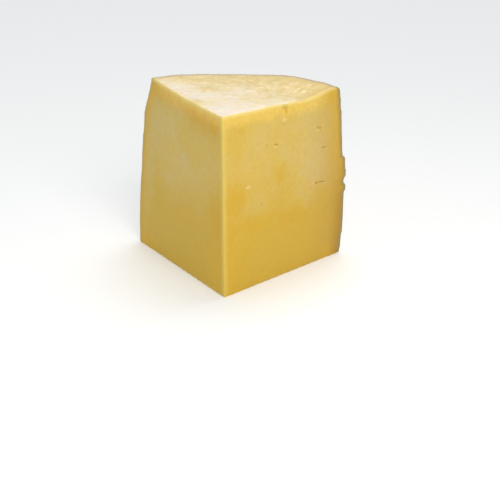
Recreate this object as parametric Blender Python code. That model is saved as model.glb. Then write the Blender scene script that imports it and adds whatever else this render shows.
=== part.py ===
"""Aged kashar cheese: a sector cut from a wheel, standing on its base.

Two smooth cut faces meet in an upright front edge. The rind covers the top, which is a little
dished inside a raised lip, and the round back, which swells towards the base. The piece is shaped
in one go: a unit block is divided into a grid, and the functions below carry each of its points
to its place in the sector. Its long edges are then worn round, and small eyes and a crack are cut
into the right-hand cut face.

Metres, +Z up. The front edge is towards -Y and the rind towards +Y. The origin is on the base,
under the middle of the piece. A "turn" is a place round the sector, from 0 at the right-hand cut
to 1 at the left-hand cut, and a "reach" is a place along it, from 0 at the front edge to 1 at the
rind.
"""

import math

import bmesh
import bpy
from mathutils import Matrix, Vector, noise

# Size of the sector
TIP_HEIGHT = 0.1464
TOP_RADIUS = 0.1192
SECTOR_ANGLE = math.radians(79.1)
GRID_CUTS = 27
EDGE_CROWDING = 0.35

# The top: it slopes and sags between the front edge and the rind, differently along each cut
SLOPE_RIGHT = -0.0052
SLOPE_LEFT = 0.0016
SAG_RIGHT = 0.0005
SAG_LEFT = 0.0022

# The raised lip inside the rim
LIP_RIGHT = 0.0055
LIP_LEFT = 0.0003
LIP_START = 0.80
LIP_CREST = 0.99
HUMP_TURN = 0.31
HUMP_WIDTH = 0.15
HUMP_HEIGHT = 0.0018
HUMP_REACH = 0.0025
DIP_TURN = 0.035
DIP_WIDTH = 0.020
DIP_DEPTH = 0.0004

# The round back: a shoulder under the rim, then a side that swells to a low belly
SHOULDER_STEP = 0.0030
SHOULDER_DEPTH = 0.0045
SLUMP_STEP = 0.0092
SLUMP_DEPTH = 0.034
BELLY_HEIGHT = 0.040
BELLY_RIGHT = 0.0100
BELLY_LEFT = 0.0062
BELLY_SOFTNESS = 0.15

# The left-hand cut wandered outwards on its way down
CUT_DRIFT = math.radians(5.2)

# Unevenness: swells in the rind, and the shallow hollow that the knife left in each cut face
RIND_SWELL = 0.0006
RIND_SWELL_LENGTH = 0.022
TOP_SWELL = 0.0005
TOP_SWELL_LENGTH = 0.016
KNIFE_HOLLOW = 0.0002
KNIFE_HOLLOW_LENGTH = 0.045

# Flakes of crust on the back: turn, height, half width, half height, thickness
FLAKES = (
    (0.00, 0.0762, 0.013, 0.0094, 0.0028),
    (0.01, 0.0587, 0.010, 0.0032, 0.0022),
    (0.19, 0.0310, 0.015, 0.0090, 0.0012),
    (0.42, 0.0930, 0.019, 0.0100, 0.0011),
    (0.63, 0.0480, 0.014, 0.0110, 0.0013),
    (0.84, 0.0800, 0.013, 0.0080, 0.0011),
)
FLAKE_EDGE = 0.25
FLAKE_RAGGEDNESS = 0.4
FLAKE_RAG_LENGTH = 0.007

# How far each kind of long edge is worn round
FRONT_WEAR = 0.0020
CUT_TOP_WEAR = 0.0014
CUT_SIDE_WEAR = 0.0012
CUT_BASE_WEAR = 0.0008
RIM_WEAR = 0.0018
FOOT_WEAR = 0.0020
WEAR_SEGMENTS = 2

# Eyes in the right-hand cut: distance from the front edge, height, half width, half height
EYES = (
    (0.0255, 0.0870, 0.0010, 0.0009),
    (0.0534, 0.1138, 0.0017, 0.0008),
    (0.0984, 0.1171, 0.0015, 0.0009),
    (0.1026, 0.0704, 0.0048, 0.0007),
)
EYE_DEPTH = 0.0013

# The crack that runs down from the right-hand top edge
CRACK_DISTANCE = 0.0620
CRACK_LENGTH = 0.0078
CRACK_HALF_WIDTH = 0.0012
CRACK_DEPTH = 0.0024
CRACK_SIDES = 6

# Colour and finish of the paste
PASTE_COLOUR = (0.74, 0.49, 0.13, 1.0)
PASTE_ROUGHNESS = 0.48

RIGHT_CUT_ANGLE = math.radians(90.0) - SECTOR_ANGLE / 2
RIGHT_CUT_ALONG = Vector((math.cos(RIGHT_CUT_ANGLE), math.sin(RIGHT_CUT_ANGLE), 0.0))
RIGHT_CUT_INWARD = Vector((-math.sin(RIGHT_CUT_ANGLE), math.cos(RIGHT_CUT_ANGLE), 0.0))


def mix(low, high, share):
    """Value that lies the given share of the way from low to high."""
    return low + (high - low) * share


def ease(start, end, value):
    """Rise smoothly from 0 at start to 1 at end."""
    share = min(max((value - start) / (end - start), 0.0), 1.0)
    return share * share * (3.0 - 2.0 * share)


def bell(value, centre, width):
    """Smooth hump that is 1 at its centre."""
    return math.exp(-(((value - centre) / width) ** 2))


def crowd(share):
    """Draw the grid's lines together towards both ends of a side."""
    return share - EDGE_CROWDING * math.sin(2.0 * math.pi * share) / (2.0 * math.pi)


def lip_height(turn):
    """Height of the lip at the rim, with one hump and a small dip beside the right-hand cut."""
    lip = mix(LIP_RIGHT, LIP_LEFT, ease(0.0, 0.45, turn) * 0.8 + ease(0.5, 1.0, turn) * 0.2)
    lip += HUMP_HEIGHT * bell(turn, HUMP_TURN, HUMP_WIDTH)
    return lip - DIP_DEPTH * bell(turn, DIP_TURN, DIP_WIDTH)


def top_height(reach, turn):
    """Height of the top face over the base."""
    slope = mix(SLOPE_RIGHT, SLOPE_LEFT, turn)
    sag = mix(SAG_RIGHT, SAG_LEFT, turn)
    height = TIP_HEIGHT + slope * reach - sag * 4.0 * reach * (1.0 - reach)
    height += lip_height(turn) * ease(LIP_START, LIP_CREST, reach)
    angle = RIGHT_CUT_ANGLE + turn * SECTOR_ANGLE
    place = Vector((math.cos(angle), math.sin(angle), 0.0)) * reach * TOP_RADIUS
    return height + TOP_SWELL * noise.noise(place / TOP_SWELL_LENGTH)


def belly(height):
    """Swell of the side: 1 at the belly, 0 at the top, with a soft bend between."""
    rise = (height - BELLY_HEIGHT) / (TIP_HEIGHT - BELLY_HEIGHT)
    bend = math.hypot(rise, BELLY_SOFTNESS) - BELLY_SOFTNESS
    return 1.0 - bend / (math.hypot(1.0, BELLY_SOFTNESS) - BELLY_SOFTNESS)


def flake_relief(turn, height):
    """Thickness of the ragged crust flakes at a place on the back."""
    relief = 0.0
    arc = turn * SECTOR_ANGLE * TOP_RADIUS
    rag = FLAKE_RAGGEDNESS * noise.noise(Vector((arc, height, 0.0)) / FLAKE_RAG_LENGTH)
    for flake_turn, flake_height, half_width, half_height, thickness in FLAKES:
        across = (turn - flake_turn) * SECTOR_ANGLE * TOP_RADIUS / half_width
        along = (height - flake_height) / half_height
        inside = 1.0 - math.hypot(across, along) + rag
        relief = max(relief, thickness * ease(0.0, FLAKE_EDGE, inside))
    return relief


def rind_radius(turn, height, rim_height):
    """Distance of the rind from the line of the front edge."""
    left = ease(0.25, 1.0, turn)
    depth = max(rim_height - height, 0.0)
    shoulder = math.sqrt(1.0 - (1.0 - min(depth / SHOULDER_DEPTH, 1.0)) ** 2)
    slump = ease(0.0, SLUMP_DEPTH, depth)
    radius = TOP_RADIUS + HUMP_REACH * bell(turn, HUMP_TURN, HUMP_WIDTH) * height / rim_height
    radius += mix(SHOULDER_STEP * shoulder, SLUMP_STEP * slump, left)
    radius += mix(BELLY_RIGHT, BELLY_LEFT, left) * belly(height) * ease(0.0, SHOULDER_DEPTH, depth)
    angle = RIGHT_CUT_ANGLE + turn * SECTOR_ANGLE
    place = Vector((math.cos(angle), math.sin(angle), 0.0)) * TOP_RADIUS
    place.z = height
    radius += RIND_SWELL * noise.noise(place / RIND_SWELL_LENGTH)
    return radius + flake_relief(turn, height)


def sector_point(block_x, block_y, block_z):
    """Carry a point of the unit block to its place in the sector, from the front edge's foot."""
    across = block_x * math.sqrt(1.0 - block_y * block_y / 2.0)
    along = block_y * math.sqrt(1.0 - block_x * block_x / 2.0)
    reach = math.hypot(across, along)
    turn = math.atan2(along, across) / math.radians(90.0)
    height = block_z * top_height(reach, turn)
    radius = reach * rind_radius(turn, block_z * top_height(1.0, turn), top_height(1.0, turn))
    drift = CUT_DRIFT * turn * turn * (1.0 - block_z)
    angle = RIGHT_CUT_ANGLE + turn * SECTOR_ANGLE + drift
    point = Vector((radius * math.cos(angle), radius * math.sin(angle), height))
    hollow = KNIFE_HOLLOW * (1.0 + noise.noise(point / KNIFE_HOLLOW_LENGTH))
    hollow *= math.sin(math.pi * reach)
    on_left = ease(0.9, 1.0, turn)
    on_right = 1.0 - ease(0.0, 0.1, turn)
    aside = Vector((-math.sin(angle), math.cos(angle), 0.0))
    return point + aside * hollow * (on_right - on_left)


def edge_wear(first, second):
    """How far the edge between two points of the unit block is worn round."""
    def both(axis, value):
        return first[axis] == value and second[axis] == value

    on_cut = both(0, 0.0) or both(1, 0.0)
    on_rind = both(0, 1.0) or both(1, 1.0)
    if both(0, 0.0) and both(1, 0.0):
        return FRONT_WEAR
    if on_cut and on_rind:
        return CUT_SIDE_WEAR
    if both(2, 1.0):
        return CUT_TOP_WEAR if on_cut else RIM_WEAR if on_rind else 0.0
    if both(2, 0.0):
        return CUT_BASE_WEAR if on_cut else FOOT_WEAR if on_rind else 0.0
    return 0.0


def paste_material():
    """Golden paste of the cheese, with a soft waxy gloss."""
    material = bpy.data.materials.new("cheese_paste")
    material.use_nodes = True
    shader = material.node_tree.nodes["Principled BSDF"]
    shader.inputs["Base Color"].default_value = PASTE_COLOUR
    shader.inputs["Roughness"].default_value = PASTE_ROUGHNESS
    shader.inputs["Metallic"].default_value = 0.0
    return material


def add_object(name, bm):
    """Turn a bmesh into an object of the scene."""
    mesh = bpy.data.meshes.new(name)
    bm.to_mesh(mesh)
    bm.free()
    item = bpy.data.objects.new(name, mesh)
    bpy.context.scene.collection.objects.link(item)
    return item


def make_sector():
    """Divide a unit block into a grid, join its base to one face, and shape it to the sector."""
    bm = bmesh.new()
    bmesh.ops.create_cube(bm, size=1.0, matrix=Matrix.Translation((0.5, 0.5, 0.5)))
    bmesh.ops.subdivide_edges(bm, edges=bm.edges, cuts=GRID_CUTS, use_grid_fill=True)
    for vert in bm.verts:
        vert.co = Vector([round(value * (GRID_CUTS + 1)) / (GRID_CUTS + 1) for value in vert.co])
    base = [face for face in bm.faces if all(vert.co.z == 0.0 for vert in face.verts)]
    bmesh.ops.dissolve_faces(bm, faces=base, use_verts=False)

    weights = bm.edges.layers.float.new("bevel_weight_edge")
    for edge in bm.edges:
        wear = edge_wear(edge.verts[0].co, edge.verts[1].co)
        edge[weights] = wear / max(FRONT_WEAR, RIM_WEAR, FOOT_WEAR)
    for vert in bm.verts:
        vert.co = sector_point(*[crowd(value) for value in vert.co])
    bmesh.ops.recalc_face_normals(bm, faces=bm.faces)
    sector = add_object("kashar_cheese", bm)
    sector.data.materials.append(paste_material())

    worn = sector.modifiers.new("worn_edges", "BEVEL")
    worn.limit_method = "WEIGHT"
    worn.width = max(FRONT_WEAR, RIM_WEAR, FOOT_WEAR)
    worn.segments = WEAR_SEGMENTS
    worn.use_clamp_overlap = False
    return sector


def make_eye_cutter():
    """One hidden cutter for the eyes and the crack, on the right-hand cut face."""
    bm = bmesh.new()
    face_turn = Matrix((RIGHT_CUT_ALONG, RIGHT_CUT_INWARD, Vector((0.0, 0.0, 1.0)))).transposed()
    for distance, height, half_width, half_height in EYES:
        centre = RIGHT_CUT_ALONG * distance + Vector((0.0, 0.0, height))
        size = Matrix.Diagonal((half_width, EYE_DEPTH, half_height, 1.0))
        place = Matrix.Translation(centre) @ face_turn.to_4x4() @ size
        bmesh.ops.create_icosphere(bm, subdivisions=2, radius=1.0, matrix=place)
    crack_top = top_height(CRACK_DISTANCE / TOP_RADIUS, 0.0) + CRACK_HALF_WIDTH
    centre = RIGHT_CUT_ALONG * CRACK_DISTANCE
    centre.z = crack_top - (CRACK_LENGTH + CRACK_HALF_WIDTH) / 2.0
    size = Matrix.Diagonal((CRACK_HALF_WIDTH, CRACK_DEPTH, 1.0, 1.0))
    place = Matrix.Translation(centre) @ face_turn.to_4x4() @ size
    bmesh.ops.create_cone(
        bm, cap_ends=True, segments=CRACK_SIDES, radius1=0.15, radius2=1.0,
        depth=CRACK_LENGTH + CRACK_HALF_WIDTH, matrix=place,
    )
    cutter = add_object("eye_cutter", bm)
    cutter.hide_render = True
    cutter.display_type = "WIRE"
    return cutter


def main():
    for item in list(bpy.data.objects):
        bpy.data.objects.remove(item, do_unlink=True)
    sector = make_sector()
    cutter = make_eye_cutter()
    cutter.parent = sector
    eyes = sector.modifiers.new("eyes_and_crack", "BOOLEAN")
    eyes.operation = "DIFFERENCE"
    eyes.solver = "EXACT"
    eyes.object = cutter
    sector.data.shade_smooth()
    sector.data.set_sharp_from_angle(angle=math.radians(35.0))

    bpy.context.view_layer.update()
    shaped = sector.evaluated_get(bpy.context.evaluated_depsgraph_get())
    corners = [Vector(corner) for corner in shaped.bound_box]
    middle = (corners[0] + corners[6]) / 2.0
    sector.location = (-middle.x, -middle.y, 0.0)


main()
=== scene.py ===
# %% [markdown]
# # A piece of aged kashar
# The real thing is one block of firm, waxy paste that was cut out of a tall wheel with a long
# knife. Two faces are fresh cuts, and they meet in an upright front edge. The top and the round
# back still wear the rind. This notebook dresses a plain solid of the same size: the solid is
# loaded first, and it says where everything below goes. Lengths are in metres, as Blender has
# them, and are printed in millimetres.

import math

import bmesh
import bpy
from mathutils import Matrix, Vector, noise


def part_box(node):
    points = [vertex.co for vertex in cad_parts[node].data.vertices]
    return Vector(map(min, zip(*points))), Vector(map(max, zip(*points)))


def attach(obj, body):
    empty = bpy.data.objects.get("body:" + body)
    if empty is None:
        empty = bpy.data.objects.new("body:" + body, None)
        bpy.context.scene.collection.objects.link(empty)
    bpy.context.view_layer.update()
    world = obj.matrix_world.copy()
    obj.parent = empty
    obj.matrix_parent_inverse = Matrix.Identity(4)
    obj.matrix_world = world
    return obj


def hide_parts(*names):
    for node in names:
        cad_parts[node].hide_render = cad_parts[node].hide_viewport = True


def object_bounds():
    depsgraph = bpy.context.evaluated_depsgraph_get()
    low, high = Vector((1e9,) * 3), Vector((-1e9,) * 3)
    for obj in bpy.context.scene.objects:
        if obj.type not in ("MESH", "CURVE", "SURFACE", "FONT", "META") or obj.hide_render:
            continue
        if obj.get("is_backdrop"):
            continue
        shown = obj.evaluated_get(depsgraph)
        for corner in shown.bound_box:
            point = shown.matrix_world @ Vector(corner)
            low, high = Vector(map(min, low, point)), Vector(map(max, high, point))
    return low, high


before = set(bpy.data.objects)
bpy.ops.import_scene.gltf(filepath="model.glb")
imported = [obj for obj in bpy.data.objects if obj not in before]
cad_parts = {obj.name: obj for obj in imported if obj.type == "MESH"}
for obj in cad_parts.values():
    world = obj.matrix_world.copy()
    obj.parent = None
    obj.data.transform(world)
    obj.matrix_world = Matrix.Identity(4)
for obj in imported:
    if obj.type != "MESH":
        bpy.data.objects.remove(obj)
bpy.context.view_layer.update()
low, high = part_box("kashar_cheese")

# Millimetres in a metre
MM = 1000.0


def in_mm(length, digits=1):
    """Length in millimetres, rounded for a print."""
    return round(length * MM, digits)


print("the solid measures", [in_mm(side) for side in high - low], "mm")

# %% [markdown]
# ## Where the front edge stands
# Everything on the piece is measured from the line where the two cuts meet, because that line was
# the middle of the wheel. The solid's front edge is worn a little round, so the true line lies
# just in front of its foremost points.

# %% Find the foot of the front edge
FRONT_SETBACK = 0.00087
FRONT_BAND = 0.0001

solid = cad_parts["kashar_cheese"]
foremost = [vert.co for vert in solid.data.vertices if vert.co.y < low.y + FRONT_BAND]
tip_x = sum(point.x for point in foremost) / len(foremost)
tip = Vector((tip_x, low.y - FRONT_SETBACK, 0.0))
print("the front edge stands at", in_mm(tip.x, 2), in_mm(tip.y, 2), "mm")

# %% [markdown]
# ## The sizes of the piece
# A place on the piece is given by its *turn*, from 0 at the right-hand cut to 1 at the left-hand
# cut, and by its *reach*, from 0 at the front edge to 1 at the rind. These sizes are the same as
# the solid's, so the dressed piece fills it. Two soft forms of the top are its own, the worn front
# corner and the gentler rise to the lip, and so is the finer relief further on.

# %% Sizes and small helpers
TIP_HEIGHT = 0.1464
TOP_RADIUS = 0.1192
SECTOR_ANGLE = math.radians(79.1)
RIGHT_CUT_ANGLE = math.radians(90.0) - SECTOR_ANGLE / 2
LEFT_CUT_ANGLE = RIGHT_CUT_ANGLE + SECTOR_ANGLE
CUT_DRIFT = math.radians(5.2)


def between(start, end, share):
    """Value that lies the given share of the way from start to end."""
    return start + (end - start) * share


def ease(start, end, value):
    """Rise smoothly from 0 at start to 1 at end."""
    share = min(max((value - start) / (end - start), 0.0), 1.0)
    return share * share * (3.0 - 2.0 * share)


def bell(value, centre, width):
    """Smooth hump that is 1 at its centre."""
    return math.exp(-(((value - centre) / width) ** 2))


def turn_at(point, drift):
    """Turn of a point, where the left-hand cut has drifted outwards by the given angle."""
    swing = math.atan2(point.y - tip.y, point.x - tip.x) - RIGHT_CUT_ANGLE
    root = math.sqrt(max(SECTOR_ANGLE ** 2 + 4.0 * drift * swing, 0.0))
    return 2.0 * swing / (SECTOR_ANGLE + root)


def from_front(point):
    """Level distance of a point from the line of the front edge."""
    return math.hypot(point.x - tip.x, point.y - tip.y)


print("sector of", round(math.degrees(SECTOR_ANGLE), 1), "degrees,", in_mm(TIP_HEIGHT), "mm high")

# %% [markdown]
# ## The form of the rind
# The wheel was not a clean drum. It bulges towards its foot, its shoulder is round, and on the
# left it has slumped. Crusts of dried rind cling to it in ragged flakes. One function gives the
# rind's distance from the middle of the wheel at any place, and another the height of the top,
# which sags inside a raised lip.

# %% Functions for the rind and the top
LEFT_START = 0.25
SHOULDER_STEP = 0.0030
SHOULDER_DEPTH = 0.0045
SLUMP_STEP = 0.0092
SLUMP_DEPTH = 0.034
BELLY_HEIGHT = 0.040
BELLY_RIGHT = 0.0100
BELLY_LEFT = 0.0062
BELLY_SOFTNESS = 0.15
RIND_SWELL = 0.0006
RIND_SWELL_LENGTH = 0.022

# Flakes of crust: turn, height, half width, half height, thickness
FLAKES = (
    (0.00, 0.0762, 0.013, 0.0094, 0.0028),
    (0.01, 0.0587, 0.010, 0.0032, 0.0022),
    (0.19, 0.0310, 0.015, 0.0090, 0.0012),
    (0.42, 0.0930, 0.019, 0.0100, 0.0011),
    (0.63, 0.0480, 0.014, 0.0110, 0.0013),
    (0.84, 0.0800, 0.013, 0.0080, 0.0011),
)
FLAKE_EDGE = 0.06
FLAKE_RAGGEDNESS = 0.4
FLAKE_RAG_LENGTH = 0.007

SLOPE_RIGHT = -0.0052
SLOPE_LEFT = 0.0016
SAG_RIGHT = 0.0005
SAG_LEFT = 0.0022
LIP_RIGHT = 0.0055
LIP_LEFT = 0.0003
LIP_START = 0.68
LIP_CREST = 0.99
LIP_EARLY_END = 0.45
LIP_EARLY_FALL = 0.8
LIP_LATE_START = 0.5
LIP_LATE_FALL = 0.2
HUMP_TURN = 0.31
HUMP_WIDTH = 0.15
HUMP_HEIGHT = 0.0018
HUMP_REACH = 0.0025
DIP_TURN = 0.035
DIP_WIDTH = 0.020
DIP_DEPTH = 0.0004
CORNER_WEAR = 0.0011
CORNER_REACH = 0.45
TOP_SWELL = 0.0005
TOP_SWELL_LENGTH = 0.016


def rim_place(turn, height):
    """Point on a plain drum at a turn and a height, measured from the front edge's foot."""
    angle = RIGHT_CUT_ANGLE + turn * SECTOR_ANGLE
    return Vector((math.cos(angle) * TOP_RADIUS, math.sin(angle) * TOP_RADIUS, height))


def top_height(reach, turn):
    """Height of the top over the base."""
    slope = between(SLOPE_RIGHT, SLOPE_LEFT, turn)
    sag = between(SAG_RIGHT, SAG_LEFT, turn)
    lip_fall = ease(0.0, LIP_EARLY_END, turn) * LIP_EARLY_FALL
    lip_fall += ease(LIP_LATE_START, 1.0, turn) * LIP_LATE_FALL
    lip = between(LIP_RIGHT, LIP_LEFT, lip_fall)
    lip += HUMP_HEIGHT * bell(turn, HUMP_TURN, HUMP_WIDTH)
    lip -= DIP_DEPTH * bell(turn, DIP_TURN, DIP_WIDTH)
    # The sag is a bow: four times reach times its rest is 1 halfway, and 0 at both ends.
    height = TIP_HEIGHT + slope * reach - sag * 4.0 * reach * (1.0 - reach)
    height += lip * ease(LIP_START, LIP_CREST, reach)
    height -= CORNER_WEAR * ease(CORNER_REACH, 0.0, reach)
    return height + TOP_SWELL * noise.noise(rim_place(turn, 0.0) * reach / TOP_SWELL_LENGTH)


def belly(height):
    """Swell of the side: 1 at the belly, 0 at the top, with a soft bend between."""
    rise = (height - BELLY_HEIGHT) / (TIP_HEIGHT - BELLY_HEIGHT)
    bend = math.hypot(rise, BELLY_SOFTNESS) - BELLY_SOFTNESS
    return 1.0 - bend / (math.hypot(1.0, BELLY_SOFTNESS) - BELLY_SOFTNESS)


def flake_relief(turn, height):
    """Thickness of the ragged crust at a place on the back."""
    relief = 0.0
    arc = turn * SECTOR_ANGLE * TOP_RADIUS
    rag = FLAKE_RAGGEDNESS * noise.noise(Vector((arc, height, 0.0)) / FLAKE_RAG_LENGTH)
    for flake_turn, flake_height, half_width, half_height, thickness in FLAKES:
        across = (turn - flake_turn) * SECTOR_ANGLE * TOP_RADIUS / half_width
        along = (height - flake_height) / half_height
        inside = 1.0 - math.hypot(across, along) + rag
        relief = max(relief, thickness * ease(0.0, FLAKE_EDGE, inside))
    return relief


def rind_radius(turn, height, rim_height):
    """Distance of the rind from the line of the front edge."""
    left = ease(LEFT_START, 1.0, turn)
    depth = max(rim_height - height, 0.0)
    shoulder = math.sqrt(1.0 - (1.0 - min(depth / SHOULDER_DEPTH, 1.0)) ** 2)
    slump = ease(0.0, SLUMP_DEPTH, depth)
    radius = TOP_RADIUS + HUMP_REACH * bell(turn, HUMP_TURN, HUMP_WIDTH) * height / rim_height
    radius += between(SHOULDER_STEP * shoulder, SLUMP_STEP * slump, left)
    swell = between(BELLY_RIGHT, BELLY_LEFT, left) * belly(height)
    radius += swell * ease(0.0, SHOULDER_DEPTH, depth)
    radius += RIND_SWELL * noise.noise(rim_place(turn, height) / RIND_SWELL_LENGTH)
    return radius + flake_relief(turn, height)


rim_middle = top_height(1.0, 0.5)
print("rim", in_mm(rind_radius(0.5, rim_middle, rim_middle)), "mm out,",
      "belly", in_mm(rind_radius(0.5, BELLY_HEIGHT, TIP_HEIGHT)), "mm out")

# %% [markdown]
# ## Tools for the hand
# A few short helpers save typing. One picks a piece and drops whatever else was selected, because
# an operator works on all that is selected. Two select edges or faces by a rule. One fills a
# vertex group by a rule, as a painter would with a weight brush, and one adds a modifier, sets it
# up and applies it at once.

# %% Helpers for modelling


def pick(piece):
    """Make a piece the only selected one."""
    bpy.ops.object.select_all(action="DESELECT")
    piece.select_set(True)
    bpy.context.view_layer.objects.active = piece


def select_edges(piece, wanted):
    """In edit mode, select just the edges for which the rule holds."""
    bpy.ops.mesh.select_mode(type="EDGE")
    bpy.ops.mesh.select_all(action="DESELECT")
    shape = bmesh.from_edit_mesh(piece.data)
    for edge in shape.edges:
        edge.select_set(wanted(edge))
    bmesh.update_edit_mesh(piece.data)


def select_faces(piece, wanted):
    """In edit mode, select just the faces for which the rule holds."""
    bpy.ops.mesh.select_mode(type="FACE")
    bpy.ops.mesh.select_all(action="DESELECT")
    shape = bmesh.from_edit_mesh(piece.data)
    for face in shape.faces:
        face.select_set(wanted(face))
    bmesh.update_edit_mesh(piece.data)


def paint(piece, name, weigh):
    """Fill a vertex group with the weight that a rule gives to each point."""
    group = piece.vertex_groups.new(name=name)
    for vert in piece.data.vertices:
        group.add([vert.index], min(max(weigh(vert.co), 0.0), 1.0), "REPLACE")
    return name


def apply_modifier(piece, name, kind, **settings):
    """Add a modifier, set it up and apply it."""
    modifier = piece.modifiers.new(name, kind)
    for setting, value in settings.items():
        setattr(modifier, setting, value)
    bpy.ops.object.modifier_apply(modifier=name)


print("helpers ready")

# %% [markdown]
# ## The wall of the wheel
# The round back is a piece of a drum's wall. A cylinder without its ends is the simplest start:
# its points all face straight outwards, so relief that is pushed along them stays true to the
# wheel. The wall is cut into many thin rings, and then the two knife cuts take away all but the
# sector. Cutting the wall first, and not the closed wheel, leaves far fewer points to shape.

# %% Cut the sector out of the wall
BLOCK_LOWER = 0.0060
BLOCK_SLIMMER = 0.0020
BLOCK_HEIGHT = TIP_HEIGHT - BLOCK_LOWER
BLOCK_RADIUS = TOP_RADIUS - BLOCK_SLIMMER
WALL_SIDES = 720
WALL_RINGS = 140


def stands_upright(edge):
    """True for an edge that runs from the foot of the wall to its top."""
    return abs(edge.verts[0].co.z - edge.verts[1].co.z) > BLOCK_HEIGHT / 2


bpy.ops.object.select_all(action="DESELECT")
bpy.ops.mesh.primitive_cylinder_add(
    vertices=WALL_SIDES,
    radius=BLOCK_RADIUS,
    depth=BLOCK_HEIGHT,
    end_fill_type="NOTHING",
    location=(tip.x, tip.y, BLOCK_HEIGHT / 2),
)
cheese = bpy.context.object
cheese.name = "aged_cheese"
bpy.ops.object.transform_apply(location=True, rotation=True, scale=True)

bpy.ops.object.mode_set(mode="EDIT")
select_edges(cheese, stands_upright)
bpy.ops.mesh.subdivide(number_cuts=WALL_RINGS - 1)

right_inward = (-math.sin(RIGHT_CUT_ANGLE), math.cos(RIGHT_CUT_ANGLE), 0.0)
left_inward = (math.sin(LEFT_CUT_ANGLE), -math.cos(LEFT_CUT_ANGLE), 0.0)
for inward in (right_inward, left_inward):
    bpy.ops.mesh.select_all(action="SELECT")
    bpy.ops.mesh.bisect(plane_co=tip, plane_no=inward, clear_inner=True)
bpy.ops.object.mode_set(mode="OBJECT")
print("wall of", len(cheese.data.polygons), "faces")

# %% [markdown]
# ## Relief on the wall
# The wall takes the rind's form while it is still a bare sheet. Weights from the function above
# tell a Displace modifier how far each point moves outwards.

# %% Push the rind out to its form
RELIEF_SPAN = 0.0260


def rind_push(point):
    """Share of the relief's span by which a point of the wall moves out."""
    turn = turn_at(point, 0.0)
    rim_height = top_height(1.0, turn)
    height = point.z / BLOCK_HEIGHT * rim_height
    return (rind_radius(turn, height, rim_height) - BLOCK_RADIUS) / RELIEF_SPAN


pick(cheese)
apply_modifier(
    cheese, "rind_form", "DISPLACE",
    strength=RELIEF_SPAN, mid_level=0.0, vertex_group=paint(cheese, "rind_form", rind_push),
)
print("rind now", in_mm(max(from_front(vert.co) for vert in cheese.data.vertices)), "mm out")

# %% [markdown]
# ## Closing the sector
# The cut faces, the top and the base all run from the wall to the line of the front edge. So the
# wall's whole border is extruded once and squeezed onto that line: a scale of nothing across, and
# of one upwards. Merging the points that fall together leaves a closed block.

# %% Extrude the border to the front edge
MERGE_DISTANCE = 0.00001

bpy.ops.object.mode_set(mode="EDIT")
select_edges(cheese, lambda edge: edge.is_boundary)
bpy.ops.mesh.extrude_edges_move()
bpy.ops.transform.resize(value=(0.0, 0.0, 1.0), center_override=tip)
bpy.ops.mesh.select_all(action="SELECT")
bpy.ops.mesh.remove_doubles(threshold=MERGE_DISTANCE)
bpy.ops.mesh.normals_make_consistent(inside=False)
bpy.ops.object.mode_set(mode="OBJECT")
print("closed block of", len(cheese.data.polygons), "faces")

# %% [markdown]
# ## An even skin, and worn edges
# The block's cut faces are long strips, which can't carry fine relief. A voxel remesh lays one
# even net of small squares over everything. A light Smooth cleans the small steps that voxels
# leave along a slanting edge. The front edge and the top edges of the cuts are what hands and
# knives touch most, so a second Smooth, weighted to them, wears them rounder than the rest.

# %% Remesh and wear
VOXEL = 0.00103
SMOOTH_FACTOR = 0.5
SMOOTH_STEPS = 3
WEAR_STEPS = 6
WEAR_START = 0.0060
WEAR_FULL = 0.0030


def wear(point):
    """1 along the front edge and the top edges of the cuts, fading to 0 a little way off."""
    aside = turn_at(point, 0.0) * SECTOR_ANGLE
    from_right_cut = from_front(point) * math.sin(max(aside, 0.0))
    from_left_cut = from_front(point) * math.sin(max(SECTOR_ANGLE - aside, 0.0))
    second_nearest = sorted((from_right_cut, from_left_cut, BLOCK_HEIGHT - point.z))[1]
    return 1.0 - ease(WEAR_FULL, WEAR_START, second_nearest)


apply_modifier(cheese, "even_skin", "REMESH", mode="VOXEL", voxel_size=VOXEL)
apply_modifier(cheese, "clean_steps", "SMOOTH", factor=SMOOTH_FACTOR, iterations=SMOOTH_STEPS)
apply_modifier(
    cheese, "worn_edges", "SMOOTH",
    factor=SMOOTH_FACTOR, iterations=WEAR_STEPS, vertex_group=paint(cheese, "wear", wear),
)
print("even skin of", len(cheese.data.polygons), "faces")

# %% [markdown]
# ## The wandering cut
# The knife drifted outwards on its way down the left-hand cut, so that face is slightly wound,
# like a propeller blade. A Twist about the front edge does just that. Its weights grow from
# nothing at the right-hand cut, which stays flat.

# %% Wind the left-hand cut
bpy.ops.object.empty_add(location=(tip.x, tip.y, BLOCK_HEIGHT))
twist_axis = bpy.context.object
pick(cheese)
apply_modifier(
    cheese, "cut_drift", "SIMPLE_DEFORM",
    deform_method="TWIST", deform_axis="Z", angle=-CUT_DRIFT, origin=twist_axis,
    vertex_group=paint(cheese, "cut_drift", lambda point: turn_at(point, 0.0) ** 2),
)
bpy.data.objects.remove(twist_axis, do_unlink=True)
print("left foot at x", in_mm(min(vert.co.x for vert in cheese.data.vertices)), "mm")

# %% [markdown]
# ## The top
# The block was made a little low. Now the top rises to its own height, and what lies below it
# stretches along, so the cut faces stay flat. The push is straight up, and each point's weight is
# its share of the full height times the rise that the top needs over it.

# %% Raise the top to its height
RISE_SPAN = 0.0110


def drift_at(height):
    """Angle by which the left-hand cut has drifted at a height."""
    return CUT_DRIFT * (1.0 - min(max(height / TIP_HEIGHT, 0.0), 1.0))


def sector_place(point):
    """Turn, reach, and depth under the top, of a point of the finished form."""
    turn = min(max(turn_at(point, drift_at(point.z)), 0.0), 1.0)
    rim_height = top_height(1.0, turn)
    reach = min(from_front(point) / rind_radius(turn, min(point.z, rim_height), rim_height), 1.0)
    return turn, reach, top_height(reach, turn) - point.z


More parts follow.
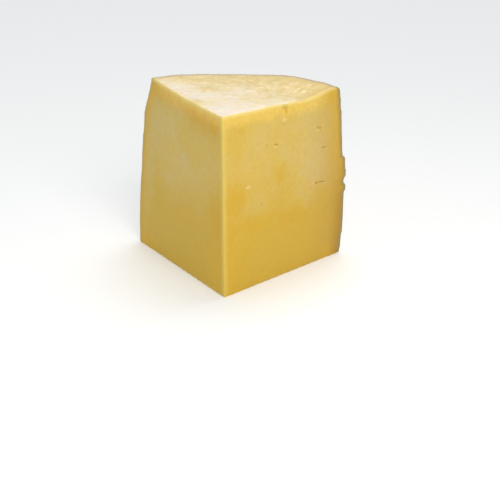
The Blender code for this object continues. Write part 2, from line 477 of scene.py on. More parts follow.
def top_rise(point):
    """Share of the rise's span by which a point moves up."""
    share = point.z / BLOCK_HEIGHT
    level = Vector((point.x, point.y, share * TIP_HEIGHT))
    turn, reach, _ = sector_place(level)
    return share * (top_height(reach, turn) - BLOCK_HEIGHT) / RISE_SPAN


apply_modifier(
    cheese, "top_form", "DISPLACE",
    direction="Z", strength=RISE_SPAN, mid_level=0.0,
    vertex_group=paint(cheese, "top_form", top_rise),
)
print("highest point", in_mm(max(vert.co.z for vert in cheese.data.vertices)), "mm")

# %% [markdown]
# ## Wrinkles in the rind
# As the wheel dried, its skin shrank less than the paste and drew into shallow folds and pits.
# Two procedural patterns make them: broad ridged folds, and finer, cloudy pitting. On the top
# they push straight up, so that the edges of the cuts wave with them while the cut faces stay
# flat. On the back they push outwards, much harder, and fade before they reach a cut.

# %% Crease the rind
FOLD_HEIGHT = 0.00035
FOLD_LENGTH = 0.0070
FOLD_MIDDLE = 0.6
PIT_DEPTH = 0.0003
PIT_LENGTH = 0.0032
PIT_MIDDLE = 0.5
SKIN_DEPTH = 0.0040
RIM_CALM = 0.7
BACK_SHARE = 2.6

# Where a fade starts and where it ends: two by reach, and two by distance
RIM_FADE = (0.88, 0.97)
BACK_FADE = (0.97, 0.985)
FOOT_FADE = (0.001, 0.005)
CUT_FADE = (0.0005, 0.004)


def pattern(name, kind, length, **settings):
    """Procedural pattern of a given grain for the Displace modifier."""
    made = bpy.data.textures.new(name, kind)
    made.noise_scale = length
    for setting, value in settings.items():
        setattr(made, setting, value)
    return made


def cut_distance(point):
    """Distance of a point from the nearer of the two cut faces."""
    turn = turn_at(point, drift_at(point.z))
    sweep = SECTOR_ANGLE + drift_at(point.z)
    aside = min(max(turn, 0.0), max(1.0 - turn, 0.0)) * sweep
    return from_front(point) * math.sin(min(aside, math.radians(90.0)))


def on_top(point):
    """1 on the top, fading to 0 a little way under it, and calmer towards the rim."""
    _, reach, depth = sector_place(point)
    return (1.0 - ease(0.0, SKIN_DEPTH, depth)) * (1.0 - RIM_CALM * ease(*RIM_FADE, reach))


def on_back(point):
    """1 on the round back, fading to 0 near the top, the foot and the cuts."""
    _, reach, depth = sector_place(point)
    share = ease(*BACK_FADE, reach) * ease(*FOOT_FADE, point.z)
    return share * ease(0.0, SKIN_DEPTH, depth) * ease(*CUT_FADE, cut_distance(point))


folds = pattern("folds", "MUSGRAVE", FOLD_LENGTH, musgrave_type="RIDGED_MULTIFRACTAL", octaves=2.0)
pits = pattern("pits", "CLOUDS", PIT_LENGTH, noise_depth=1)
top_group = paint(cheese, "top", on_top)
back_group = paint(cheese, "back", on_back)
for group, direction, share in ((top_group, "Z", 1.0), (back_group, "NORMAL", BACK_SHARE)):
    apply_modifier(
        cheese, "folds_" + group, "DISPLACE", texture=folds, texture_coords="GLOBAL",
        direction=direction, strength=FOLD_HEIGHT * share, mid_level=FOLD_MIDDLE,
        vertex_group=group,
    )
    apply_modifier(
        cheese, "pits_" + group, "DISPLACE", texture=pits, texture_coords="GLOBAL",
        direction=direction, strength=PIT_DEPTH * share, mid_level=PIT_MIDDLE,
        vertex_group=group,
    )
print("folds about", in_mm(FOLD_HEIGHT, 2), "mm deep on the top and",
      in_mm(FOLD_HEIGHT * BACK_SHARE, 2), "mm on the back")

# %% [markdown]
# ## A flat base
# The piece stands on its base, so the base is truly flat. Its many small squares are joined to
# one face, because nothing there needs them.

# %% Flatten the base
BASE_BAND = 0.0006
BASE_FACING = -0.9


def in_base(face):
    """True for a face that looks down and lies next to the ground."""
    return face.normal.z < BASE_FACING and face.calc_center_median().z < BASE_BAND


bpy.ops.object.mode_set(mode="EDIT")
select_faces(cheese, in_base)
bpy.ops.transform.resize(value=(1.0, 1.0, 0.0), center_override=(tip.x, tip.y, 0.0))
bpy.ops.mesh.dissolve_faces()
bpy.ops.object.mode_set(mode="OBJECT")
print("base flat, faces now", len(cheese.data.polygons))

# %% [markdown]
# ## Eyes and a crack
# The right-hand cut opened a few small eyes, and a crack runs down from its top edge. They are
# real hollows with crisp rims, so a Boolean takes them out: one cutter is made of squashed spheres
# and a flattened cone, and it is subtracted from the piece.

# %% Cut the eyes and the crack
# Distance from the front edge, height, half width, half height, depth, fall to the rind in degrees
EYES = (
    (0.0225, 0.0878, 0.0013, 0.0009, 0.0007, 0.0),
    (0.0530, 0.1134, 0.0021, 0.0009, 0.0009, 6.0),
    (0.0990, 0.1174, 0.0027, 0.0012, 0.0011, 14.0),
    (0.0984, 0.0712, 0.0022, 0.0011, 0.0012, 8.0),
    (0.1048, 0.0706, 0.0038, 0.0005, 0.0009, 6.0),
    (0.1050, 0.0998, 0.0028, 0.0006, 0.0007, 4.0),
    (0.0430, 0.1148, 0.0015, 0.0006, 0.0005, 0.0),
    (0.0380, 0.0690, 0.0012, 0.0007, 0.0006, 0.0),
)
CRACK_DISTANCE = 0.0624
CRACK_LENGTH = 0.0080
CRACK_HALF_WIDTH = 0.0022
CRACK_DEPTH = 0.0012
CRACK_LEAN = 9.0
CRACK_SIDES = 12
CRACK_TAPER = 0.25
EYE_SUBDIVISIONS = 3
SMOOTH_ANGLE = math.radians(40.0)


def cut_place(angle, distance, height):
    """Place on a cut face, by its distance from the front edge and its height."""
    return tip + Vector((math.cos(angle) * distance, math.sin(angle) * distance, height))


cutters = []
for distance, rise, half_width, half_height, eye_depth, fall in EYES:
    bpy.ops.mesh.primitive_ico_sphere_add(
        subdivisions=EYE_SUBDIVISIONS, radius=1.0,
        location=cut_place(RIGHT_CUT_ANGLE, distance, rise),
        rotation=(0.0, math.radians(fall), RIGHT_CUT_ANGLE),
        scale=(half_width, eye_depth, half_height),
    )
    cutters.append(bpy.context.object)

crack_top = top_height(CRACK_DISTANCE / TOP_RADIUS, 0.0) + CRACK_HALF_WIDTH
crack_middle = crack_top - (CRACK_LENGTH + CRACK_HALF_WIDTH) / 2
bpy.ops.mesh.primitive_cone_add(
    vertices=CRACK_SIDES, radius1=CRACK_TAPER, radius2=1.0, depth=CRACK_LENGTH + CRACK_HALF_WIDTH,
    location=cut_place(RIGHT_CUT_ANGLE, CRACK_DISTANCE, crack_middle),
    rotation=(0.0, math.radians(-CRACK_LEAN), RIGHT_CUT_ANGLE),
    scale=(CRACK_HALF_WIDTH, CRACK_DEPTH, 1.0),
)
cutters.append(bpy.context.object)

for single in cutters:
    single.select_set(True)
bpy.context.view_layer.objects.active = cutters[0]
bpy.ops.object.join()
cutter = bpy.context.object
pick(cheese)
apply_modifier(cheese, "eyes", "BOOLEAN", operation="DIFFERENCE", solver="EXACT", object=cutter)
bpy.data.objects.remove(cutter, do_unlink=True)
bpy.ops.object.shade_smooth_by_angle(angle=SMOOTH_ANGLE)
print(len(EYES), "eyes and a crack cut, faces now", len(cheese.data.polygons))

# %% [markdown]
# ## How deep under the rind
# The paste's colour depends on how near the rind it is. So each point remembers one number, in
# millimetres: above 0 it lies on a cut, that far from the rind, and below 0 it lies on the rind,
# that far from the nearest cut. The number passes smoothly through 0 over a worn edge, so a
# material can draw a clean border there. Two more numbers are the distance from the round back,
# in millimetres, and the thickness of the crust, as a share of the thickest flake.

# %% Store the depth under the rind
LEAST_REACH = 0.001
THICKEST_FLAKE = max(flake[-1] for flake in FLAKES)


def back_depth(point):
    """Distance from the round back, in millimetres."""
    _, reach, _ = sector_place(point)
    return from_front(point) * (1.0 / max(reach, LEAST_REACH) - 1.0) * MM


def rind_depth(point):
    """Depth under the rind on a cut face, or minus the distance to a cut on the rind, in mm."""
    _, _, under_top = sector_place(point)
    under_rind = min(max(under_top, 0.0) * MM, back_depth(point), max(point.z, 0.0) * MM)
    return under_rind - cut_distance(point) * MM


def crust(point):
    """Thickness of the crust as a share of the thickest flake."""
    turn, _, _ = sector_place(point)
    return flake_relief(turn, point.z) / THICKEST_FLAKE


for name, rule in (("rind_depth", rind_depth), ("back_depth", back_depth), ("crust", crust)):
    values = [rule(vert.co) for vert in cheese.data.vertices]
    layer = cheese.data.attributes.new(name, "FLOAT", "POINT")
    layer.data.foreach_set("value", values)
    print(name, "from", round(min(values), 1), "to", round(max(values), 1))

# %% [markdown]
# ## Writing a material as sums
# Masks are easier to read as sums than as a web of nodes. A *Wire* wraps one output of a node:
# adding or multiplying wires adds the Math nodes behind them, and every other node comes from
# the one method *node*.

# %% The Wire
# Sockets of a Mix node that is set to mix colours
MIX_FACTOR, MIX_BELOW, MIX_ABOVE, MIX_RESULT = 0, 6, 7, 2


class Wire:
    """A value on its way through a material. Sums of wires add Math nodes."""

    def __init__(self, tree, socket=None):
        self.tree = tree
        self.socket = socket

    def node(self, kind, settings=None, inputs=None, output=0):
        """Add a node, set it up, feed its sockets, and return the wire of one of its outputs."""
        made = self.tree.nodes.new(kind)
        for name, value in (settings or {}).items():
            setattr(made, name, value)
        for name, value in (inputs or {}).items():
            if isinstance(value, Wire):
                self.tree.links.new(value.socket, made.inputs[name])
            else:
                made.inputs[name].default_value = value
        return Wire(self.tree, made.outputs[output] if made.outputs else None)

    def math(self, operation, first, second):
        """Add a Math node."""
        return self.node("ShaderNodeMath", {"operation": operation}, {0: first, 1: second})

    def __add__(self, other):
        return self.math("ADD", self, other)

    def __radd__(self, other):
        return self.math("ADD", other, self)

    def __sub__(self, other):
        return self.math("SUBTRACT", self, other)

    def __rsub__(self, other):
        return self.math("SUBTRACT", other, self)

    def __mul__(self, other):
        return self.math("MULTIPLY", self, other)

    def __rmul__(self, other):
        return self.math("MULTIPLY", other, self)

    def step(self, start, end):
        """Smooth step from 0 where the value is start to 1 where it is end."""
        return self.node(
            "ShaderNodeMapRange", {"interpolation_type": "SMOOTHSTEP"},
            {"Value": self, "From Min": start, "From Max": end, "To Min": 0.0, "To Max": 1.0},
        )

    def tint(self, below, above):
        """Colour that goes from below to above as the value goes from 0 to 1."""
        return self.node(
            "ShaderNodeMix", {"data_type": "RGBA"},
            {MIX_FACTOR: self, MIX_BELOW: below, MIX_ABOVE: above}, output=MIX_RESULT,
        )


def shade(red, green, blue):
    """Colour given as on a screen, 0 to 255, in the linear values that a shader wants."""
    def linear(level):
        """One level, sent back through the curve of the sRGB standard."""
        share = level / 255.0
        return share / 12.92 if share <= 0.04045 else ((share + 0.055) / 1.055) ** 2.4

    return (linear(red), linear(green), linear(blue), 1.0)


print("a wire carries a value")

# %% [markdown]
# ## One material for paste and rind
# Paste and rind are one body, so one material paints both, and masks tell them apart. The masks
# come from three things: the numbers stored above, plain distances such as the height or the
# distance from the front edge, and cloudy noise that breaks up every border.

# %% Start of the material
material = bpy.data.materials.new("cheese_paste")
material.use_nodes = True
tree = material.node_tree
tree.nodes.clear()
start = Wire(tree)
place = start.node("ShaderNodeTexCoord", output="Object")
facing = start.node("ShaderNodeTexCoord", output="Normal")
upward = start.node("ShaderNodeSeparateXYZ", inputs={0: facing}, output=2)
height = start.node("ShaderNodeSeparateXYZ", inputs={0: place}, output=2)
depth = start.node("ShaderNodeAttribute", {"attribute_name": "rind_depth"}, output="Fac")
back = start.node("ShaderNodeAttribute", {"attribute_name": "back_depth"}, output="Fac")
crusty = start.node("ShaderNodeAttribute", {"attribute_name": "crust"}, output="Fac")
print("material started with", len(tree.nodes), "nodes")

# %% Helpers for masks


def vector_math(operation, first, second=(0.0, 0.0, 0.0), output="Vector"):
    """Add a Vector Math node, and return its vector or its number."""
    return start.node(
        "ShaderNodeVectorMath", {"operation": operation}, {0: first, 1: second}, output=output,
    )


def mottle(length, detail, roughness, stretch=(1.0, 1.0, 1.0)):
    """Cloudy pattern from 0 to 1, with spots about as wide as length."""
    spread = vector_math("MULTIPLY", place, stretch)
    return start.node(
        "ShaderNodeTexNoise",
        inputs={"Vector": spread, "Scale": 1.0 / length, "Detail": detail, "Roughness": roughness},
    )


def wander(cloud, span):
    """Cloudy value that wanders about 0, over the given span."""
    return (mottle(*cloud) - 0.5) * span


def distance_from(centre, sizes):
    """Distance from a point. Each size counts as 1 along its axis, and 0 leaves the axis out."""
    inverse = [1.0 / size if size else 0.0 for size in sizes]
    offset = vector_math("SUBTRACT", place, centre)
    return vector_math("LENGTH", vector_math("MULTIPLY", offset, inverse), output="Value")


print("helpers for masks ready")

# %% [markdown]
# ## Plain distances, and the border of the rind
# The distance from the front edge and that from the right-hand cut are in millimetres, like the
# stored numbers. A pair named as a step gives the value at which a mask is 0, and the value at
# which it is 1. A cloud is given by the length of its spots, its detail and its roughness. The one
# with three more numbers is squeezed by them along its axes.

# %% Distances and the rind's mask
RIND_CLOUD = (0.004, 2.0, 0.5)
RIND_SPAN = 2.6
RIND_STEP = (0.0, -2.2)

from_tip = vector_math("SUBTRACT", place, tip)
from_edge = distance_from(tip, (1.0 / MM, 1.0 / MM, 0.0))
from_right = vector_math("DOT_PRODUCT", from_tip, right_inward, output="Value") * MM
rind = (depth + wander(RIND_CLOUD, RIND_SPAN)).step(*RIND_STEP)
print("the rind starts where the stored depth falls below", RIND_STEP[0], "mm")

# %% [markdown]
# ## Blotches
# Some patches lie in places of their own, and noise alone wouldn't put them there. Each is a
# squashed ball of space with a ragged border, listed by its place and its size. Several are
# gathered into one mask.

# %% Helpers for blotches
RAG_CLOUD = (0.009, 3.0, 0.6)
RAG_SPAN = 2.2
BLOTCH_STEP = (1.5, 0.1)

rag = wander(RAG_CLOUD, RAG_SPAN)


def blotch(centre, sizes, strength):
    """Ragged patch: about as strong as given at its centre, and nothing past its border."""
    return (distance_from(centre, sizes) + rag).step(*BLOTCH_STEP) * strength


def gather(masks):
    """One mask that is 1 where any of the masks is 1."""
    bare = 1.0
    for mask in masks:
        bare = bare * (1.0 - mask)
    return 1.0 - bare


def cut_blotches(rows):
    """Mask of the blotches on the two cuts, where a row starts with its cut."""
    masks = []
    for cut, distance, rise, half_width, half_height, strength in rows:
        angle = RIGHT_CUT_ANGLE if cut == "right" else LEFT_CUT_ANGLE + drift_at(rise)
        centre = cut_place(angle, distance, rise)
        masks.append(blotch(centre, (half_width, half_width, half_height), strength))
    return gather(masks)


def lay(ground, washes):
    """Lay tones over a ground in turn. A wash is a mask, its strength and its tone."""
    for mask, strength, tone in washes:
        ground = (mask * strength).tint(ground, tone)
    return ground


print("blotches ready")

# %% [markdown]
# ## The paste
# Inside, the paste is a soft beige gold. It turns to a deep, clear gold just under the top, along
# the front edge and towards the foot, where it dried and ripened most. Under the top that gold is
# partly a painted glow of light through the rind, and towards the foot it is partly painted warm
# shade. It turns to ochre towards the rind, and on the right-hand cut that ochre is partly painted
# shade. Pale, greyish patches are a bloom of fat and salt on the cut. The worn front edge and the
# top edges of the cuts carry a lighter line, which is a painted highlight, and the line along the
# rind is partly painted shade. Small spots mark the crack, and the pale ones under it and under
# three of the eyes are painted highlights on their lower lips.

# %% Tones, blotches and spots of the paste
PASTE = shade(214, 182, 84)
# Darker, deeper gold towards the foot, partly painted warm shade
PASTE_LOW_AND_SHADE = shade(209, 172, 50)
PASTE_DEEP = shade(216, 173, 42)
PASTE_AMBER = shade(210, 164, 24)
# Ripe gold under the top, partly a painted glow of light through the rind
PASTE_RIPE_AND_GLOW = shade(235, 200, 92)
# Warm gold under the left-hand cut's top, partly a painted glow of light through the rind
PASTE_WARM_GLOW = shade(238, 172, 40)
PASTE_PALE = shade(213, 188, 116)
PASTE_OCHRE = shade(188, 146, 60)
# Darker ochre near the back of the right-hand cut, partly painted shade
PASTE_OCHRE_SHADE = shade(170, 128, 38)
PASTE_STAIN = shade(206, 158, 56)
PASTE_MUSTY = shade(150, 128, 40)
# Painted highlight on the lower lips of the crack and of three eyes
PASTE_LIP_HIGHLIGHT = shade(236, 206, 140)
# Painted highlight on the rounded front edge
FRONT_EDGE_HIGHLIGHT = shade(222, 203, 108)
# Painted highlight along the top edges of the cuts
CUT_EDGE_HIGHLIGHT = shade(234, 213, 138)
# Grey-brown line where a cut meets the round back, partly painted shade
RIND_LINE_AND_SHADE = shade(154, 136, 84)

# Cut, distance from the front edge, height, half width, half height, strength
PALE_BLOTCHES = (
    ("right", 0.096, 0.096, 0.017, 0.036, 1.0),
    ("right", 0.076, 0.124, 0.012, 0.008, 0.5),
    ("right", 0.030, 0.068, 0.012, 0.008, 0.25),
    ("left", 0.096, 0.114, 0.020, 0.014, 0.8),
    ("left", 0.060, 0.097, 0.009, 0.007, 0.7),
    ("left", 0.086, 0.073, 0.010, 0.008, 0.7),
    ("left", 0.042, 0.086, 0.020, 0.010, 0.4),
    ("left", 0.124, 0.080, 0.014, 0.050, 0.8),
)
DEEP_BLOTCHES = (
    ("right", 0.0575, 0.088, 0.008, 0.007, 0.6),
    ("right", 0.013, 0.078, 0.010, 0.012, 0.7),
    ("right", 0.074, 0.050, 0.022, 0.009, 0.7),
    ("right", 0.030, 0.054, 0.022, 0.007, 0.5),
    ("left", 0.030, 0.134, 0.030, 0.010, 0.9),
    ("left", 0.010, 0.058, 0.012, 0.030, 0.9),
    ("left", 0.011, 0.137, 0.008, 0.008, 0.6),
    ("left", 0.110, 0.139, 0.012, 0.008, 0.7),
    ("left", 0.055, 0.052, 0.030, 0.012, 0.4),
)

# The pale spots under the crack and under three eyes are painted highlights on their lower lips
# Distance from the front edge, height, half width, half height, strength, tone
SPOTS = (
    (0.0615, 0.1415, 0.0034, 0.0022, 0.6, PASTE_MUSTY),
    (0.0630, 0.1380, 0.0020, 0.0034, 0.5, PASTE_STAIN),
    (0.0613, 0.1312, 0.0024, 0.0021, 0.6, PASTE_LIP_HIGHLIGHT),
    (0.0612, 0.1280, 0.0030, 0.0010, 0.3, PASTE_OCHRE),
    (0.0243, 0.0856, 0.0027, 0.0016, 0.6, PASTE_LIP_HIGHLIGHT),
    (0.0522, 0.1116, 0.0028, 0.0012, 0.35, PASTE_LIP_HIGHLIGHT),
    (0.0975, 0.1152, 0.0030, 0.0010, 0.35, PASTE_LIP_HIGHLIGHT),
)
print(len(PALE_BLOTCHES + DEEP_BLOTCHES), "blotches and", len(SPOTS), "spots on the cuts")

# %% [markdown]
# ## Where the paste changes
# Each tone has a mask of its own, and one cloudy value, the border, roughens many of them. The two
# cuts aren't alike: under the top the ripe band of the right-hand cut is thicker but shorter, and
# only the left-hand cut has a warm band, so some masks are told which cut they are on. Both bands
# are partly a painted glow of light through the rind.

# %% Masks of the paste
BORDER_CLOUD = (0.014, 3.0, 0.6)
BORDER_SPAN = 10.0
LOW_CLOUD = (0.030, 2.0, 0.5)
LOW_SPAN = 50.0
BLOOM_CLOUD = (0.024, 4.0, 0.6)
BLOOM_STEP = (0.36, 0.68)
SPECKLE_CLOUD = (0.0035, 3.0, 0.7)
SPECKLE_STEP = (0.30, 0.70)

# Steps in height, in metres
UPPER_STEP = (0.100, 0.130)
FRONT_FALL_STEP = (0.170, 0.060)

# Steps in distance from the rind, the front edge, a cut or the foot, in millimetres
RIGHT_CUT_STEP = (7.0, 2.0)
SKIN_STEP = (10.5, 1.0)
SKIN_END_STEP = (130.0, 102.0)
RIGHT_SKIN_THICKER = 3.0
RIGHT_SKIN_SHORTER = 12.0
WARM_STEP = (15.0, 5.0)
WARM_RAG = 0.6
FRONT_STEP = (32.0, 6.0)
NEAR_RIND_STEP = (78.0, 124.0)
NEAR_RIND_LEFT = 0.1
NEAR_RIND_RIGHT_EXTRA = 0.7
CORNER_OUT_STEP = (96.0, 116.0)
CORNER_DOWN_STEP = (18.0, 3.0)
CORNER_RAG = 0.5
LOW_STEP = (98.0, 38.0)

border = wander(BORDER_CLOUD, BORDER_SPAN)
right_cut = from_right.step(*RIGHT_CUT_STEP)
upper = height.step(*UPPER_STEP)
# Ripe gold under the top edges, partly a painted glow of light through the rind
ripe_glow_under_skin = (depth + border - right_cut * RIGHT_SKIN_THICKER).step(*SKIN_STEP) * upper
ripe_glow_under_skin = ripe_glow_under_skin * (from_edge + right_cut * RIGHT_SKIN_SHORTER).step(*SKIN_END_STEP)
# Warm band under the left-hand cut's top, partly a painted glow of light through the rind
warm_glow_band = (depth + border * WARM_RAG).step(*WARM_STEP) * (1.0 - right_cut) * upper
near_front = (from_edge + border).step(*FRONT_STEP) * height.step(*FRONT_FALL_STEP)
# Ochre towards the rind; the extra on the right-hand cut is partly painted shade
near_rind = from_edge.step(*NEAR_RIND_STEP) * (right_cut * NEAR_RIND_RIGHT_EXTRA + NEAR_RIND_LEFT)
top_corner = from_edge.step(*CORNER_OUT_STEP)
top_corner = top_corner * (depth + border * CORNER_RAG).step(*CORNER_DOWN_STEP)
# Lower down the paste turns darker and deeper gold, partly as painted warm shade
low_down = (height * MM + wander(LOW_CLOUD, LOW_SPAN)).step(*LOW_STEP)
bloom = mottle(*BLOOM_CLOUD).step(*BLOOM_STEP)
speckle = mottle(*SPECKLE_CLOUD).step(*SPECKLE_STEP)
print("masks from", len(tree.nodes), "nodes")

# %% [markdown]
# ## Laying the tones of the paste
# The tones are laid one over the other, like thin washes of paint. The wide ones come first, then
# the small spots, and at last the lines and the darker band that follow the edges: the lines along
# the front edge and the top edges are painted highlights, and the band near the back of the
# right-hand cut and the line along the rind are partly painted shade.

# %% Paint the paste
SPOT_STEP = (1.4, 0.2)
FRONT_LINE_STEP = (5.5, 1.0)
FRONT_LINE_RAG = 0.15
LINE_RAG = 0.12
TOP_LINE_STEP = (3.4, 0.0)
BACK_LINE_STEP = (6.4, 1.4)
BACK_LINE_LEFT = 0.4
BACK_LINE_RIGHT_EXTRA = 0.5
BACK_SHADE_STEP = (20.0, 1.0)
BACK_SHADE_HIGH_UP = 0.12
BACK_SHADE_LOW_EXTRA = 0.75

paste = lay(PASTE, (
    (bloom, 0.6, PASTE_PALE),
    (low_down, 0.9, PASTE_LOW_AND_SHADE),
    (near_front, 0.55, PASTE_DEEP),
    (cut_blotches(DEEP_BLOTCHES), 0.8, PASTE_AMBER),
    (cut_blotches(PALE_BLOTCHES), 0.9, PASTE_PALE),
    (near_rind, 0.6, PASTE_OCHRE),
    (warm_glow_band, 0.5, PASTE_WARM_GLOW),
    (ripe_glow_under_skin, 0.8, PASTE_RIPE_AND_GLOW),
    (top_corner, 0.75, PASTE_DEEP),
    (speckle, 0.20, PASTE_OCHRE),
))
for distance, rise, half_width, half_height, strength, tone in SPOTS:
    centre = cut_place(RIGHT_CUT_ANGLE, distance, rise)
    spot = distance_from(centre, (half_width, half_width, half_height)).step(*SPOT_STEP)
    paste = lay(paste, ((spot, strength, tone),))

# Painted highlight along the rounded front edge
front_edge_highlight = (from_edge + border * FRONT_LINE_RAG).step(*FRONT_LINE_STEP)
# Painted highlight along the rounded top edges of the cuts
top_edge_highlight = (depth + border * LINE_RAG).step(*TOP_LINE_STEP) * upper
# Darker ochre near the back of the right-hand cut, lowest down most, partly painted shade
shaded_near_back = back.step(*BACK_SHADE_STEP) * (low_down * BACK_SHADE_LOW_EXTRA + BACK_SHADE_HIGH_UP) * right_cut
# Line along the rind on the cuts: the rind's own edge, partly painted shade
back_line_and_shade = (back + border * LINE_RAG).step(*BACK_LINE_STEP)
back_line_and_shade = back_line_and_shade * (right_cut * BACK_LINE_RIGHT_EXTRA + BACK_LINE_LEFT)
paste = lay(paste, (
    (front_edge_highlight, 0.45, FRONT_EDGE_HIGHLIGHT),
    (top_edge_highlight, 0.7, CUT_EDGE_HIGHLIGHT),
    (shaded_near_back, 1.0, PASTE_OCHRE_SHADE),
    (back_line_and_shade, 1.0, RIND_LINE_AND_SHADE),
))
print("paste painted, nodes now", len(tree.nodes))

# %% [markdown]
# ## The rind on top
# The top is palest round the front and along the left-hand cut, where a warm white bloom still
# covers it and a painted sheen lies over it. Towards the back it is worn to a golden tan. Small
# gold flecks show through the white, and pale specks lie over the gold. One number, the whiteness,
# says how much bloom is left, with the painted sheen in it.

# %% Tones and blotches of the top
# Warm white of the bloom on the top, with a painted sheen in it
RIND_WHITE_AND_SHEEN = shade(252, 235, 213)
RIND_CREAM = shade(245, 224, 175)
RIND_GOLD = shade(230, 201, 128)
RIND_RIPE = shade(224, 191, 108)
# Grey along the rim of the top, partly painted shade where it rolls over
RIND_GREY_AND_SHADE = shade(172, 158, 132)

# Place from the front edge across and along, half width, half length, strength
WHITE_BLOTCHES = (
    (0.000, 0.018, 0.017, 0.024, 0.40),
    (-0.024, 0.058, 0.026, 0.013, 0.45),
    (-0.048, 0.076, 0.014, 0.012, 0.55),
    (0.021, 0.032, 0.010, 0.010, 0.35),
    (0.000, 0.074, 0.014, 0.014, 0.40),
    (0.037, 0.050, 0.012, 0.009, 0.30),
)
GOLD_BLOTCHES = (
    (-0.027, 0.036, 0.010, 0.009, 0.6),
    (-0.022, 0.074, 0.014, 0.007, 0.5),
    (0.061, 0.072, 0.015, 0.022, 0.5),
    (-0.042, 0.096, 0.020, 0.006, 0.4),
)
print(len(WHITE_BLOTCHES), "white and", len(GOLD_BLOTCHES), "gold blotches on the top")

# %% Paint the top
GOLD_BLOTCH_SHARE = 0.7
WHITENESS_IN_FRONT = 0.98
WHITENESS_LOST_ALONG = 8.0
WHITENESS_LOST_ACROSS = 2.6
SPOT_CLOUD = (0.0065, 3.0, 0.6)
SPOT_SPAN = 1.4
FLECK_CLOUD = (0.0028, 2.0, 0.6)
FLECK_SPAN = 0.8
CREAM_STEP = (-0.15, 0.60)
WHITE_STEP = (0.40, 1.15)
RIPE_CUT_STEP = (16.0, 1.0)
RIPE_OUT_STEP = (70.0, 100.0)
RIPE_RAG = 0.3
RIM_LINE_STEP = (7.0, 0.8)
RIM_LINE_RAG = 0.2


def top_blotches(rows):
    """Mask of the blotches on the top."""
    masks = []
    for right, behind, half_width, half_length, strength in rows:
        centre = tip + Vector((right, behind, TIP_HEIGHT))
        masks.append(blotch(centre, (half_width, half_length, 0.0), strength))
    return gather(masks)


across = start.node("ShaderNodeSeparateXYZ", inputs={0: from_tip}, output=0)
along = start.node("ShaderNodeSeparateXYZ", inputs={0: from_tip}, output=1)
# Whiteness: the bloom, and partly a painted sheen, palest at the front and the left
whiteness = WHITENESS_IN_FRONT - along * WHITENESS_LOST_ALONG - across * WHITENESS_LOST_ACROSS
whiteness = whiteness + wander(SPOT_CLOUD, SPOT_SPAN) + wander(FLECK_CLOUD, FLECK_SPAN)
whiteness = whiteness + top_blotches(WHITE_BLOTCHES)
whiteness = whiteness - top_blotches(GOLD_BLOTCHES) * GOLD_BLOTCH_SHARE
ripe = (from_right + border * RIPE_RAG).step(*RIPE_CUT_STEP) * from_edge.step(*RIPE_OUT_STEP)
# Greyer band along the rim: the rind turning down, partly painted shade
rim_line_and_shade = (back + border * RIM_LINE_RAG).step(*RIM_LINE_STEP)
skin = lay(RIND_GOLD, (
    (whiteness.step(*CREAM_STEP), 1.0, RIND_CREAM),
    (whiteness.step(*WHITE_STEP), 1.0, RIND_WHITE_AND_SHEEN),
    (ripe, 0.75, RIND_RIPE),
    (rim_line_and_shade, 0.75, RIND_GREY_AND_SHADE),
))
print("top painted, nodes now", len(tree.nodes))

# %% [markdown]
# ## The rind on the back
# The round back is browner than the top, with clouds of pale bloom and small brown specks. Its
# flakes of crust are crumbly, so they carry specks that are darker still. Where the surface turns
# away from straight up, the back's colour takes over from the top's.

# %% Paint the back
RIND_SIDE = shade(216, 184, 122)
RIND_BROWN = shade(186, 152, 96)
RIND_CRUST = shade(158, 124, 74)
RIND_BLOOM = shade(226, 206, 160)
SIDE_STEP = (0.80, 0.30)
SIDE_CLOUD = (0.022, 5.0, 0.6)
SIDE_CLOUD_STEP = (0.25, 0.80)
SIDE_BLOOM_CLOUD = (0.013, 4.0, 0.7, (1.0, 1.0, 1.8))
SIDE_BLOOM_STEP = (0.52, 0.72)
SIDE_SPECK_CLOUD = (0.0045, 3.0, 0.6)
SIDE_SPECK_STEP = (0.50, 0.70)
CRUMB_CLOUD = (0.005, 3.0, 0.6)
CRUMB_STEP = (0.42, 0.68)
CRUMB_STRENGTH = 0.35
CRUST_STEP = (0.05, 0.40)

crumbly = mottle(*CRUMB_CLOUD).step(*CRUMB_STEP) * CRUMB_STRENGTH
side_skin = lay(RIND_SIDE, (
    (mottle(*SIDE_CLOUD).step(*SIDE_CLOUD_STEP), 1.0, RIND_BROWN),
    (mottle(*SIDE_BLOOM_CLOUD).step(*SIDE_BLOOM_STEP), 0.55, RIND_BLOOM),
    (mottle(*SIDE_SPECK_CLOUD).step(*SIDE_SPECK_STEP), 0.35, RIND_BROWN),
    (crusty.step(*CRUST_STEP) * crumbly, 1.0, RIND_CRUST),
))
skin = upward.step(*SIDE_STEP).tint(skin, side_skin)
colour = rind.tint(paste, skin)
print("rind painted, nodes now", len(tree.nodes))

# %% [markdown]
# ## Gloss and grain
# Fresh paste is waxy, and the oily rind shines more. Light sinks a few millimetres into both,
# which softens every edge. A fine grain in the bump keeps the gloss from looking like plastic.

# %% Finish
GRAIN_CLOUD = (0.0009, 3.0, 0.6)
GRAIN_HEIGHT = 0.00012
GRAIN_STRENGTH = 0.5
GLOSS_CLOUD = (0.006, 2.0, 0.5)
GLOSS_SPAN = 0.12
PASTE_ROUGHNESS = 0.46
RIND_SMOOTHER = 0.06
RIND_COAT = 0.35

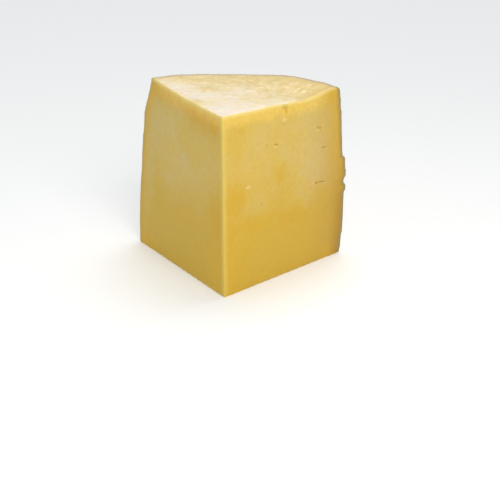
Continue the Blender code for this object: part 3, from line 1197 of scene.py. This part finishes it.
bump = start.node("ShaderNodeBump", inputs={
    "Height": mottle(*GRAIN_CLOUD), "Distance": GRAIN_HEIGHT, "Strength": GRAIN_STRENGTH,
})
shader = start.node(
    "ShaderNodeBsdfPrincipled",
    inputs={
        "Base Color": colour,
        "Roughness": PASTE_ROUGHNESS - rind * RIND_SMOOTHER + wander(GLOSS_CLOUD, GLOSS_SPAN),
        "Coat Weight": rind * RIND_COAT,
        "Normal": bump,
        "Subsurface Weight": 0.25,
        "Subsurface Scale": 0.005,
        "Subsurface Radius": (1.0, 0.55, 0.15),
        "IOR": 1.45,
        "Specular IOR Level": 0.30,
        "Coat Roughness": 0.25,
    },
)
start.node("ShaderNodeOutputMaterial", inputs={"Surface": shader})
cheese.data.materials.append(material)
print("material with", len(tree.nodes), "nodes")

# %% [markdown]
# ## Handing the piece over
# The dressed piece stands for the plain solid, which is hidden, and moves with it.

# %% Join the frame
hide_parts("kashar_cheese")
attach(cheese, "root")
print("the piece replaces the plain solid")

# %% [markdown]
# ## Floor, light and camera
# A pale floor, a big soft light from the front right, a gentle one from high up behind, and a weak
# cool one from the left. The camera looks down on the piece from in front of its upright edge, and
# just to the right of it.

# %% Floor
FLOOR_SIZE = 8.0
FLOOR_FINISH = {
    "Base Color": (0.90, 0.90, 0.90, 1.0),
    "Roughness": 0.9,
    "Emission Color": (1.0, 1.0, 1.0, 1.0),
    "Emission Strength": 0.12,
}

bpy.ops.mesh.primitive_plane_add(size=FLOOR_SIZE)
floor = bpy.context.object
floor.name = "floor"
floor_paint = bpy.data.materials.new("floor_paint")
floor_paint.use_nodes = True
floor_shader = floor_paint.node_tree.nodes["Principled BSDF"]
for name, value in FLOOR_FINISH.items():
    floor_shader.inputs[name].default_value = value
floor.data.materials.append(floor_paint)
floor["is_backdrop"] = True
print("floor laid")

# %% Lights
SKY_LIGHT = 0.44
SKY_SHOWN = 1.0
SKY_COLOUR = (0.95, 0.97, 1.0, 1.0)


def aim(azimuth, elevation):
    """Direction from the piece towards a place in the studio, given in degrees."""
    level = math.cos(math.radians(elevation))
    return Vector((
        math.cos(math.radians(azimuth)) * level,
        math.sin(math.radians(azimuth)) * level,
        math.sin(math.radians(elevation)),
    ))


def add_light(name, kind, towards, distance, power, colour):
    """Light that looks at the middle of the piece."""
    middle = Vector((0, 0, TIP_HEIGHT / 2))
    bpy.ops.object.light_add(type=kind, location=towards * distance + middle)
    lamp = bpy.context.object
    lamp.name = name
    lamp.rotation_euler = (-towards).to_track_quat("-Z", "Y").to_euler()
    lamp.data.energy = power
    lamp.data.color = colour
    return lamp.data


key = add_light(
    "key", "AREA", aim(-60.0, 40.0), distance=0.70, power=2.35, colour=(1.0, 0.97, 0.90),
)
key.size = 0.35
fill = add_light(
    "fill", "AREA", aim(-150.0, 25.0), distance=1.40, power=1.55, colour=(0.70, 0.96, 0.92),
)
fill.size = 0.80
overhead = add_light(
    "overhead", "SUN", aim(80.0, 62.0), distance=1.0, power=1.15, colour=(1.0, 1.0, 1.0),
)
overhead.angle = math.radians(50.0)

world = bpy.data.worlds.new("studio")
bpy.context.scene.world = world
world.use_nodes = True
backdrop = world.node_tree.nodes["Background"]
seen = world.node_tree.nodes.new("ShaderNodeLightPath")
sky = Wire(world.node_tree, seen.outputs["Is Camera Ray"]) * (SKY_SHOWN - SKY_LIGHT) + SKY_LIGHT
world.node_tree.links.new(sky.socket, backdrop.inputs["Strength"])
backdrop.inputs["Color"].default_value = SKY_COLOUR
bpy.context.scene.view_settings.view_transform = "Standard"
print("three lights and a pale sky")

# %% Camera
CAMERA_FROM_TIP = Vector((0.1208, -0.6314, 0.3384))
CAMERA_VIEW = Vector((-0.1429, 0.8963, -0.4199))
CAMERA_LENS = 67.18
CAMERA_SENSOR = 36.0

bpy.ops.object.camera_add(location=tip + CAMERA_FROM_TIP)
camera = bpy.context.object
camera.rotation_euler = CAMERA_VIEW.to_track_quat("-Z", "Y").to_euler()
camera.data.lens = CAMERA_LENS
camera.data.sensor_width = CAMERA_SENSOR
bpy.context.scene.camera = camera
print("camera", round(CAMERA_FROM_TIP.length, 2), "m from the piece")

# %% [markdown]
# ## Measuring and closing
# The size of the dressed piece is printed, to set against the plain solid's size that was printed
# at the start.

# %% Measure and finish
dressed_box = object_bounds()
print("dressed size", [in_mm(side) for side in dressed_box[1] - dressed_box[0]], "mm")
